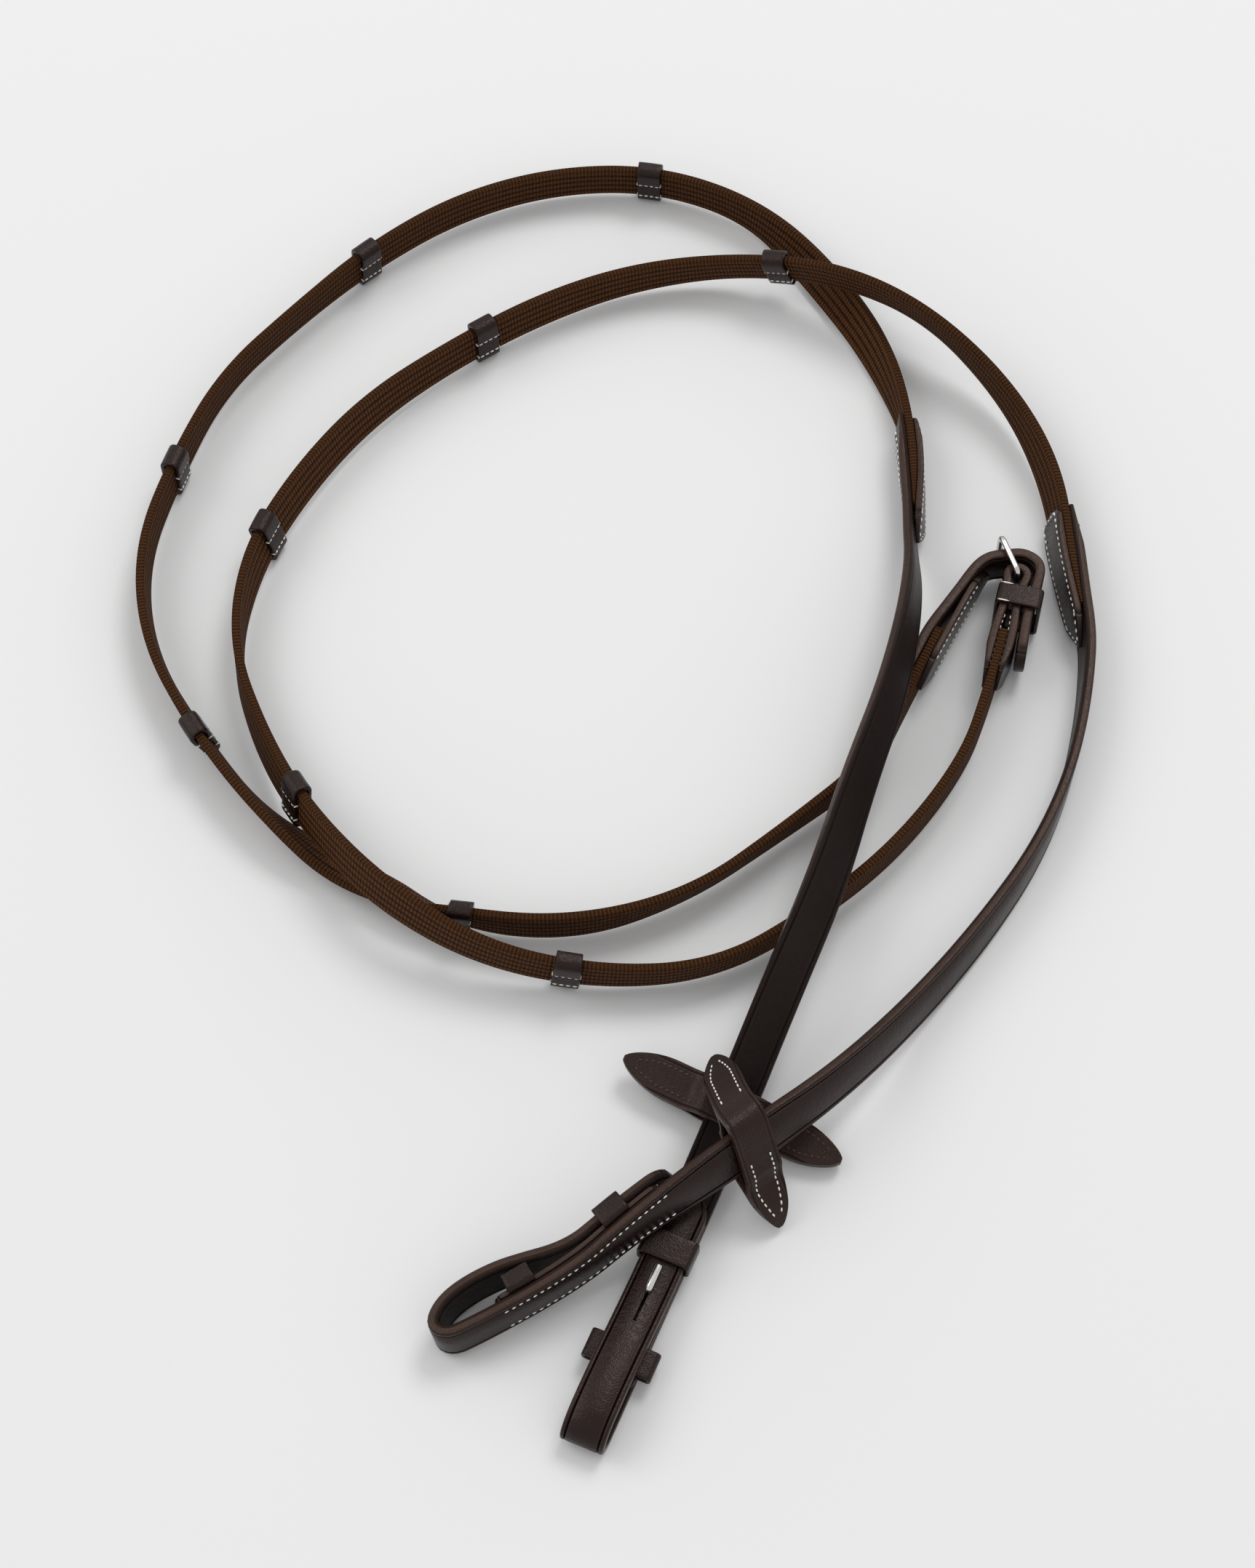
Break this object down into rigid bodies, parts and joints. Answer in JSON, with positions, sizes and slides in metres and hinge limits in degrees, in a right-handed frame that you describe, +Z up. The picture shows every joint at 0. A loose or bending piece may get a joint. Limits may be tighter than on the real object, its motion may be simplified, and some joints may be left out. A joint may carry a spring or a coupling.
{
  "type": "web reins",
  "caption": "Pair of bridle reins: ribbed webbing with leather hand stops, leather hook-stud bit ends with rein stops, and a centre buckle, laid in a double loop.",
  "frame": {"origin": "on the surface that the reins lie on, at the middle of their box seen from above", "axes": "+Z up; +Y from the bit ends towards the far side of the loop; +X to the right of that, towards the buckle"},
  "size_m": [0.3743, 0.5601, 0.0379],
  "materials": {
    "webbing": "woven, ribbed",
    "buckle_metal": "polished",
    "stud_metal": "polished",
    "hand_stop_leather": "smooth",
    "keeper_leather": "smooth",
    "rein_stop_leather": "grained",
    "lining_leather": "smooth",
    "tab_leather": "smooth",
    "chape_leather": "smooth",
    "billet_leather": "smooth",
    "strap_leather": "smooth, waxed"
  },
  "bodies": {
    "reins": {"billet": "billet_leather", "billet_rein_bit_lining": "lining_leather", "billet_rein_bit_strap": "strap_leather", "billet_rein_empty_keeper": "keeper_leather", "billet_rein_hand_stop_1": "hand_stop_leather", "billet_rein_hand_stop_2": "hand_stop_leather", "billet_rein_hand_stop_3": "hand_stop_leather", "billet_rein_hand_stop_4": "hand_stop_leather", "billet_rein_hand_stop_5": "hand_stop_leather", "billet_rein_hook_stud": "stud_metal", "billet_rein_joint_tab": "tab_leather", "billet_rein_tip_keeper": "keeper_leather", "billet_rein_webbing": "webbing", "billet_tab": "tab_leather", "buckle_rein_bit_lining": "lining_leather", "buckle_rein_bit_strap": "strap_leather", "buckle_rein_empty_keeper": "keeper_leather", "buckle_rein_hand_stop_1": "hand_stop_leather", "buckle_rein_hand_stop_2": "hand_stop_leather", "buckle_rein_hand_stop_3": "hand_stop_leather", "buckle_rein_hand_stop_4": "hand_stop_leather", "buckle_rein_hand_stop_5": "hand_stop_leather", "buckle_rein_hook_stud": "stud_metal", "buckle_rein_joint_tab": "tab_leather", "buckle_rein_tip_keeper": "keeper_leather", "buckle_rein_webbing": "webbing", "chape": "chape_leather", "chape_keeper": "keeper_leather"},
    "buckle": {"buckle_frame": "buckle_metal"},
    "tongue": {"buckle_tongue": "buckle_metal"},
    "billet_rein_stop": {"lower_stop_back_layer": "rein_stop_leather", "lower_stop_top_layer": "rein_stop_leather"},
    "buckle_rein_stop": {"upper_stop_back_layer": "rein_stop_leather", "upper_stop_top_layer": "rein_stop_leather"}
  },
  "joints": [
    {"name": "buckle_turn", "type": "hinge", "parent": "reins", "child": "buckle", "pos_m": [0.158, 0.07, 0.0115], "axis": [0.0006, 0.0025, 1], "range_deg": [-3, 4]},
    {"name": "tongue_turn", "type": "hinge", "parent": "buckle", "child": "tongue", "pos_m": [0.158, 0.07, 0.0115], "axis": [0.0006, 0.0025, 1], "range_deg": [-3, 0]},
    {"name": "billet_rein_stop_slide", "type": "slide", "parent": "reins", "child": "billet_rein_stop", "axis": [0.3863, 0.8948, 0.2237], "range_m": [-0.003, 0.003]},
    {"name": "buckle_rein_stop_slide", "type": "slide", "parent": "reins", "child": "buckle_rein_stop", "axis": [0.7956, 0.605, -0.0302], "range_m": [-0.003, 0.003]}
  ]
}
